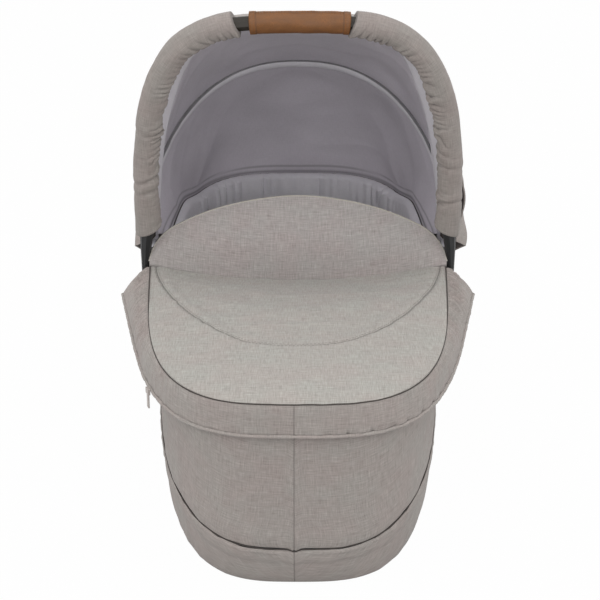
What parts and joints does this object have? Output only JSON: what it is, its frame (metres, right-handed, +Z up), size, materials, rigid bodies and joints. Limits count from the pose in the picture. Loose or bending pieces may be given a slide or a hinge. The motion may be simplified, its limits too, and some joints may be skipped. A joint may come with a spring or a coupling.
{
  "type": "carrycot",
  "caption": "Fabric-covered carrycot with a folding hood on a padded carry bow, a tucked-in apron cover, a folding wind flap and side adapters for a pushchair frame.",
  "frame": {"origin": "bottom centre of the carrycot, on the floor under its feet", "axes": "+X to the side (its right as seen from the foot end), +Y from the foot end to the head end, +Z up"},
  "size_m": [0.4696, 0.8232, 0.6031],
  "materials": {
    "moulded_shell": "moulded, fine grain",
    "rim_metal": "satin",
    "outer_cloth": "melange linen-look weave, warm light grey",
    "welt_cord": "dark grey sewn cord and binding",
    "liner_cloth": "soft light grey jersey",
    "hood_lining": "smooth fine woven lining, purplish light grey",
    "board": "plain sheet",
    "soft_rubber": "matt",
    "black_moulding": "moulded, satin",
    "grey_moulding": "moulded, satin",
    "sprung_steel": "bright drawn wire and pressed sheet",
    "dark_tube": "dark brown anodised tube, satin",
    "grip_leather": "tan leather-look wrap, fine grain, stitched cuffs"
  },
  "bodies": {
    "tub": {"tub_shell": "moulded_shell", "rim_tube": "rim_metal", "body_cover": "outer_cloth", "base_cover": "outer_cloth", "body_welt": "welt_cord", "wall_liner": "liner_cloth", "mattress_board": "board", "mattress": "liner_cloth", "foot_pad_foot_left": "soft_rubber", "foot_pad_foot_right": "soft_rubber", "foot_pad_head_left": "soft_rubber", "foot_pad_head_right": "soft_rubber", "apron_top": "outer_cloth", "apron_welt": "welt_cord", "apron_skirt": "outer_cloth", "apron_hem": "welt_cord", "zip_slider": "rim_metal", "hub_housing_left": "black_moulding", "hub_housing_right": "black_moulding", "click_ring_left": "sprung_steel", "click_ring_right": "sprung_steel", "adapter_screw_left": "sprung_steel", "adapter_screw_right": "sprung_steel", "chassis_adapter_left": "black_moulding", "chassis_adapter_right": "black_moulding", "latch_spring_left": "sprung_steel", "latch_spring_right": "sprung_steel", "hood_front": "outer_cloth", "hood_back": "outer_cloth", "lining_front": "hood_lining", "lining_back": "hood_lining"},
    "bow": {"bow_tube": "dark_tube", "bow_arm_left": "black_moulding", "bow_arm_right": "black_moulding", "bow_sleeve_left": "outer_cloth", "bow_sleeve_right": "outer_cloth", "grip": "grip_leather", "toothed_disc_left": "grey_moulding", "toothed_disc_right": "grey_moulding", "hood_spring_left": "sprung_steel", "hood_spring_right": "sprung_steel"},
    "rib": {"rib_wire": "sprung_steel", "rib_end_left": "black_moulding", "rib_end_right": "black_moulding"},
    "flap": {"flap_panel": "outer_cloth", "flap_hem": "welt_cord"},
    "left_hood_button": {"hood_button_left": "grey_moulding"},
    "right_hood_button": {"hood_button_right": "grey_moulding"},
    "left_latch_button": {"latch_button_left": "grey_moulding"},
    "right_latch_button": {"latch_button_right": "grey_moulding"},
    "left_latch_hook": {"latch_hook_left": "sprung_steel"},
    "right_latch_hook": {"latch_hook_right": "sprung_steel"}
  },
  "joints": [
    {"name": "bow_fold", "type": "hinge", "parent": "tub", "child": "bow", "pos_m": [0, 0.045, 0.2], "axis": [-1, 0, 0], "range_deg": [0, 66], "deforming": ["hood_front", "hood_back", "lining_front", "lining_back"]},
    {"name": "rib_fold", "type": "hinge", "parent": "tub", "child": "rib", "pos_m": [0, 0.045, 0.2], "axis": [-1, 0, 0], "range_deg": [0, 33], "deforming": ["hood_front", "hood_back", "lining_front", "lining_back"]},
    {"name": "flap_fold", "type": "hinge", "parent": "tub", "child": "flap", "pos_m": [0, 0.018, 0.244], "axis": [1, 0, 0], "range_deg": [0, 75]},
    {"name": "left_hood_press", "type": "slide", "parent": "bow", "child": "left_hood_button", "axis": [1, 0, 0], "range_m": [0, 0.0015], "stiffness_N_per_m": 400, "springref_m": -0.002, "deforming": ["hood_spring_left"]},
    {"name": "right_hood_press", "type": "slide", "parent": "bow", "child": "right_hood_button", "axis": [-1, 0, 0], "range_m": [0, 0.0015], "stiffness_N_per_m": 400, "springref_m": -0.002, "deforming": ["hood_spring_right"]},
    {"name": "left_latch_press", "type": "slide", "parent": "tub", "child": "left_latch_button", "axis": [0, 0, 1], "range_m": [0, 0.004], "stiffness_N_per_m": 400, "springref_m": -0.003, "deforming": ["latch_spring_left"]},
    {"name": "right_latch_press", "type": "slide", "parent": "tub", "child": "right_latch_button", "axis": [0, 0, 1], "range_m": [0, 0.004], "stiffness_N_per_m": 400, "springref_m": -0.003, "deforming": ["latch_spring_right"]},
    {"name": "left_hook_swing", "type": "hinge", "parent": "tub", "child": "left_latch_hook", "pos_m": [-0.19, 0.0579, 0.1276], "axis": [-1, 0, 0], "range_deg": [0, 12.2]},
    {"name": "right_hook_swing", "type": "hinge", "parent": "tub", "child": "right_latch_hook", "pos_m": [0.19, 0.0579, 0.1276], "axis": [-1, 0, 0], "range_deg": [0, 12.2]}
  ],
  "couplings": [
    {"joint": "rib_fold", "follows": "bow_fold", "ratio": 0.5},
    {"joint": "left_hook_swing", "follows": "left_latch_press", "rad_per_m": 52.36},
    {"joint": "right_hook_swing", "follows": "right_latch_press", "rad_per_m": 52.36}
  ]
}
